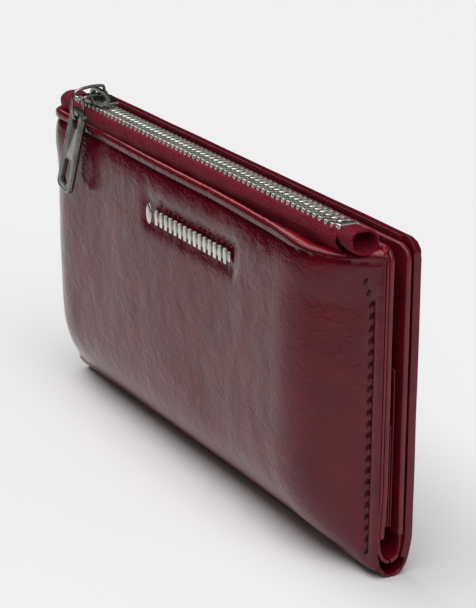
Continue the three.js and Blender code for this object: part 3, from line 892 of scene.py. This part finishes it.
# %% Make the tucked ends
def tuck_place(start, end, rise):
    """A tube from x = start, pinched, to x = end, open."""
    def place(u, v):
        around = 2 * math.pi * u * (1 if end < start else -1)
        open_up = smooth(v * 1.3)
        x = start + (end - start) * v
        half, high = 3.3 + 0.5 * open_up, 1.4 + 1.2 * open_up
        gather = 0.16 * math.sin(around * 7) * (1 - 0.6 * open_up) + rumple(around * 3, x, 3, 0.2, 11)
        y = ZIP_Y + (half + gather) * math.copysign(abs(math.cos(around)) ** 0.8, math.cos(around))
        z = 98.9 - 0.9 * open_up + (high + gather) * math.copysign(
            abs(math.sin(around)) ** 0.8, math.sin(around))
        slant = 0.9 * math.sin(around) * v * (1 if end > start else -1)
        return Vector((x - slant, y, z + rise * v)) + drift(x)
    return place


for side, node, start, end in (
    ("left", "zip_end_tuck_left", -76.4, -84.0), ("right", "zip_end_tuck_right", 81.6, 91.4)):
    tube = make_sheet("tape_tuck_" + side, 72, 22, tuck_place(start, end, 0.4), zip_cloth, 0.6, edge=0.2)
    settle(tube, "pocket", "zip_tape", node)

# %% [markdown]
# ## The trim on the front
# The real one carries a badge; this lesson puts a plain trim there, an oval stud and a row of ribs on
# a thin bar.
# Ribs catch the light one by one, as small raised shapes in a row do, and they mean nothing.
# They are cubes joined in one mesh, and the thin bar below them is a bevelled cube sized from the
# frame's own bar.

# %% Make the trim
bar_low, bar_high = (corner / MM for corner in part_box("trim_bar"))
bar_bm = bmesh.new()
RIBS = 15
rib_zone = (bar_low.x + 6.4, bar_high.x - 1.2)
rib_pitch = (rib_zone[1] - rib_zone[0]) / RIBS
for i in range(RIBS):
    centre = Vector((rib_zone[0] + rib_pitch * (i + 0.5), (bar_low.y + bar_high.y) / 2, BAR_Z))
    size = Matrix.Diagonal((rib_pitch * 0.5, bar_high.y - bar_low.y, 4.6, 1))
    bmesh.ops.create_cube(bar_bm, size=1, matrix=Matrix.Translation(centre) @ size)
backing = Vector(((bar_low.x + bar_high.x) / 2 + 2.4, bar_high.y - 0.16, BAR_Z))
backing_size = Matrix.Diagonal((bar_high.x - bar_low.x - 6, 0.32, 3.0, 1))
bmesh.ops.create_cube(bar_bm, size=1, matrix=Matrix.Translation(backing) @ backing_size)
bmesh.ops.bevel(
    bar_bm, geom=bar_bm.edges[:], offset=0.14, segments=2, profile=0.5, affect="EDGES", material=-1)
stud_at = Matrix.Translation((bar_low.x + 2.6, (bar_low.y + bar_high.y) / 2, BAR_Z))
stud_shape = Matrix.Diagonal((1.6, 0.6, 3.2, 1))
bmesh.ops.create_uvsphere(bar_bm, u_segments=32, v_segments=20, radius=1, matrix=stud_at @ stud_shape)
settle(make_object("front_trim", bar_bm, nickel), "pocket", "trim", "trim_bar")
print("the trim has", RIBS, "ribs, one every", round(rib_pitch, 2), "mm")

# %% [markdown]
# ## Slider, link and puller
# The slider's two plates hold the tapes, and a raised bridge on top carries a bent wire link.
# The puller hangs on the link: a flat plate with a raised rim round its outline, round its eye and
# round its window.
# Rims and link are wires, so they are curves with a round section, turned into meshes before they are
# placed.

# %% Helpers for wires
def make_wire(name, points, radius, material, closed=True, flat=1.0, matrix=None):
    """A round wire through the points, in millimetres, as a mesh; flat below 1 presses it thin
    along Y."""
    data = bpy.data.curves.new(name, "CURVE")
    data.dimensions = "3D"
    spline = data.splines.new("POLY")
    spline.points.add(len(points) - 1)
    for target, point in zip(spline.points, points):
        target.co = (*point, 1)
    spline.use_cyclic_u = closed
    data.bevel_depth = radius
    data.bevel_resolution = 3
    data.use_fill_caps = not closed
    temp = bpy.data.objects.new(name + "_curve", data)
    bpy.context.scene.collection.objects.link(temp)
    bm = bmesh.new()
    bm.from_mesh(
        bpy.data.meshes.new_from_object(temp.evaluated_get(bpy.context.evaluated_depsgraph_get())))
    bpy.data.objects.remove(temp)
    bmesh.ops.scale(bm, vec=(1, flat, 1), verts=bm.verts)
    if matrix:
        bmesh.ops.transform(bm, matrix=matrix, verts=bm.verts)
    return make_object(name, bm, material)


def smooth_loop(points, steps):
    """Points spaced along a closed smooth line through the given ones."""
    doubled = points + points[:3]
    last = len(doubled) - 1
    shift = 1
    count = len(points)
    return [curve_point(doubled, (shift + count * i / steps) / last) for i in range(steps)]


def rounded_outline(half_width, low, high, low_radius, high_radius, steps=7):
    """The outline of a rectangle with rounded corners, as points in the XZ plane."""
    points = []
    for corner_x, corner_z, radius, first in (
        (half_width, low, low_radius, -90), (half_width, high, high_radius, 0),
        (-half_width, high, high_radius, 90), (-half_width, low, low_radius, 180)):
        centre_x = corner_x - math.copysign(radius, corner_x)
        centre_z = corner_z + (radius if corner_z == low else -radius)
        for i in range(steps):
            angle = math.radians(first + 90 * i / (steps - 1))
            points.append((centre_x + radius * math.cos(angle), 0, centre_z + radius * math.sin(angle)))
    return points


# %% Make the slider and its link
slider = rounded_copy("slider_cast", "slider_body", 0.28, gunmetal)
settle(slider, "slider", "slider_metal", "slider_body")

SLIDER_X, BRIDGE_Z, LINK_TURN = -63.5, 105.4, 1.5
EYE_Y, EYE_Z, EYE_TURN = -18.8, 97.1, 2.0
link_line = [
    (SLIDER_X, y, z) for y, z in (
        (ZIP_Y + 0.4, BRIDGE_Z - LINK_TURN), (ZIP_Y - 3.4, BRIDGE_Z - LINK_TURN),
        (EYE_Y + EYE_TURN + 0.3, BRIDGE_Z - LINK_TURN - 0.5), (EYE_Y + EYE_TURN - 0.1, EYE_Z + 4.6),
        (EYE_Y + EYE_TURN - 0.1, EYE_Z + 2), (EYE_Y + 1.3, EYE_Z + 0.4), (EYE_Y, EYE_Z),
        (EYE_Y - 1.3, EYE_Z + 0.4), (EYE_Y - EYE_TURN + 0.1, EYE_Z + 2),
        (EYE_Y - EYE_TURN + 0.1, EYE_Z + 5), (EYE_Y - 0.8, EYE_Z + 8.6),
        (ZIP_Y - 4, BRIDGE_Z + LINK_TURN), (ZIP_Y + 0.4, BRIDGE_Z + LINK_TURN),
        (ZIP_Y + 1.35, BRIDGE_Z + 0.95), (ZIP_Y + 1.6, BRIDGE_Z), (ZIP_Y + 1.35, BRIDGE_Z - 0.95))
]
link = make_wire("link_wire", smooth_loop(link_line, 96), 0.5, gunmetal)
settle(link, "link", "slider_metal", "puller_link")

# %% Make the puller
PULLER_LEAN, PULLER_TILT = math.radians(6.8), math.radians(12)
PULLER_HALF, PULLER_TOP, PULLER_LENGTH = 4.7, 2.6, 27.5
hang = (
    Matrix.Translation((SLIDER_X, EYE_Y, EYE_Z))
    @ Matrix.Rotation(-PULLER_LEAN, 4, "X")
    @ Matrix.Rotation(PULLER_TILT, 4, "Y")
)
puller_foot = PULLER_TOP - PULLER_LENGTH
plate = rounded_copy("puller_plate", "puller", 0.3, gunmetal)
settle(plate, "puller", "slider_metal", "puller")
outline = rounded_outline(PULLER_HALF - 0.55, puller_foot + 0.55, PULLER_TOP - 0.55, 1.8, 1.2)
rim = make_wire("puller_rim", outline, 0.62, gunmetal, flat=1.55, matrix=hang)
settle(rim, "puller", "slider_metal")
window = rounded_outline(2.8, puller_foot + 1.9, puller_foot + 11.1, 1.5, 1.5)
window_rim = make_wire("puller_window_rim", window, 0.42, gunmetal, flat=2.1, matrix=hang)
settle(window_rim, "puller", "slider_metal")
eye = [
    (2.5 * math.cos(2 * math.pi * i / 32), 0, -1.3 + 2.5 * math.sin(2 * math.pi * i / 32))
    for i in range(32)
]
eye_rim = make_wire("puller_eye_rim", eye, 0.36, gunmetal, flat=2.3, matrix=hang)
settle(eye_rim, "puller", "slider_metal")

# %% [markdown]
# ## Stitches
# A stitch is a short length of thick thread that dips into the leather at both ends.
# Here it is a small stretched ball laid half in its groove, turned a little off the line of the seam
# as a lockstitch lies.
# One function sews any seam, given a place and a direction out of the surface for each stitch.

# %% Sew the seams
def sew(name, places, body, slot, length=2.3, width=0.34, slant=0.0):
    """Stitches in one mesh. Each place is a point, the seam's direction there and the way out of
    the surface."""
    bm = bmesh.new()
    for point, along, out in places:
        along, out = along.normalized(), out.normalized()
        side = out.cross(along).normalized()
        run = (along * math.cos(slant) + side * math.sin(slant)).normalized()
        across = out.cross(run).normalized()
        frame_of = Matrix((run, across, out)).transposed().to_4x4()
        size = Matrix.Diagonal((length / 2, width, width * 0.8, 1))
        bmesh.ops.create_uvsphere(
            bm, u_segments=8, v_segments=6, radius=1, matrix=Matrix.Translation(point) @ frame_of @ size)
    thread = make_object(name, bm, wine_thread)
    print(name, "has", len(places), "stitches")
    return settle(thread, body, slot)


UP, ALONG = Vector((0, 0, 1)), Vector((1, 0, 0))


def end_seam(side):
    places = []
    z = 8.0 if side > 0 else 20.0
    while z < 89:
        s = s_at(side * END_SEAM_X)
        out = plan_normal(s, hem_depth(0), z)
        normal = Vector((out.x, out.y, 0))
        places.append((outer_point(s, z) + normal * 0.3, UP, normal))
        z += 3.4
    return places


def hem_seam():
    places = []
    x = -80.0
    while x < 88:
        s = s_at(x)
        out = plan_normal(s, hem_depth(0), SEAM_Z)
        normal = Vector((out.x, out.y, 0))
        places.append((outer_point(s, SEAM_Z) + normal * 0.1, ALONG, normal))
        x += 3.3
    return places


def cover_seam():
    """Round the back cover, a few millimetres in from its free edges."""
    inset_x, inset_z = HALF + 0.2 - COVER_SEAM, COVER_TOP - COVER_SEAM
    line = [(side * inset_x, 9 + 3.4 * i) for side in (-1, 1) for i in range(int((inset_z - 10) / 3.4))]
    places = [(x, z, UP) for x, z in line]
    places += [(-inset_x + 2 + 3.4 * i, inset_z, ALONG) for i in range(int((2 * inset_x - 4) / 3.4) + 1)]
    back = COVER_Y + COVER_THICK - 0.3
    return [
        (Vector((x, back + rumple(x, z, 19, 0.16, 7), z)), along, Vector((0, 1, 0)))
        for x, z, along in places]


sew("stitches_front_left", end_seam(-1), "pocket", "patent_skin", length=2.4, width=0.38, slant=0.35)
sew("stitches_front_right", end_seam(1), "pocket", "patent_skin", length=2.4, width=0.38, slant=-0.35)
sew("stitches_hem", hem_seam(), "pocket", "patent_skin", width=0.26)
sew("stitches_cover", cover_seam(), "cover", "patent_skin", slant=0.2)

# %% [markdown]
# ## What the cloth was cut to
# Each lining and each zip tape is a piece of cloth, and a maker wants to know the size to cut.
# The width is known from the design, and the length follows from the area of one side of the finished
# piece.
# So the length can't confirm the width: measure the finished piece for that.

def declare_cloth(piece, width):
    """Prints the size that a piece of cloth is cut to, in millimetres."""
    one_side = sum(face.area for face in piece.data.polygons) / 2
    length = one_side / (width * MM)
    print(piece.name, "is cut to", width, "by", round(length / MM, 1), "mm")


for cloth, cut_width in (
    (front_lining, 2 * LINING_END), (rear_lining, 180), (cover_lining, 185.6), (tape_front, 162),
    (tape_rear, 162)):
    declare_cloth(cloth, cut_width)

# %% Give the hidden board its finish
board_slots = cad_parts["back_board"].data.materials
board_slots.clear()
board_slots.append(grey_board)
print("back_board shows", board_slots[0].name)
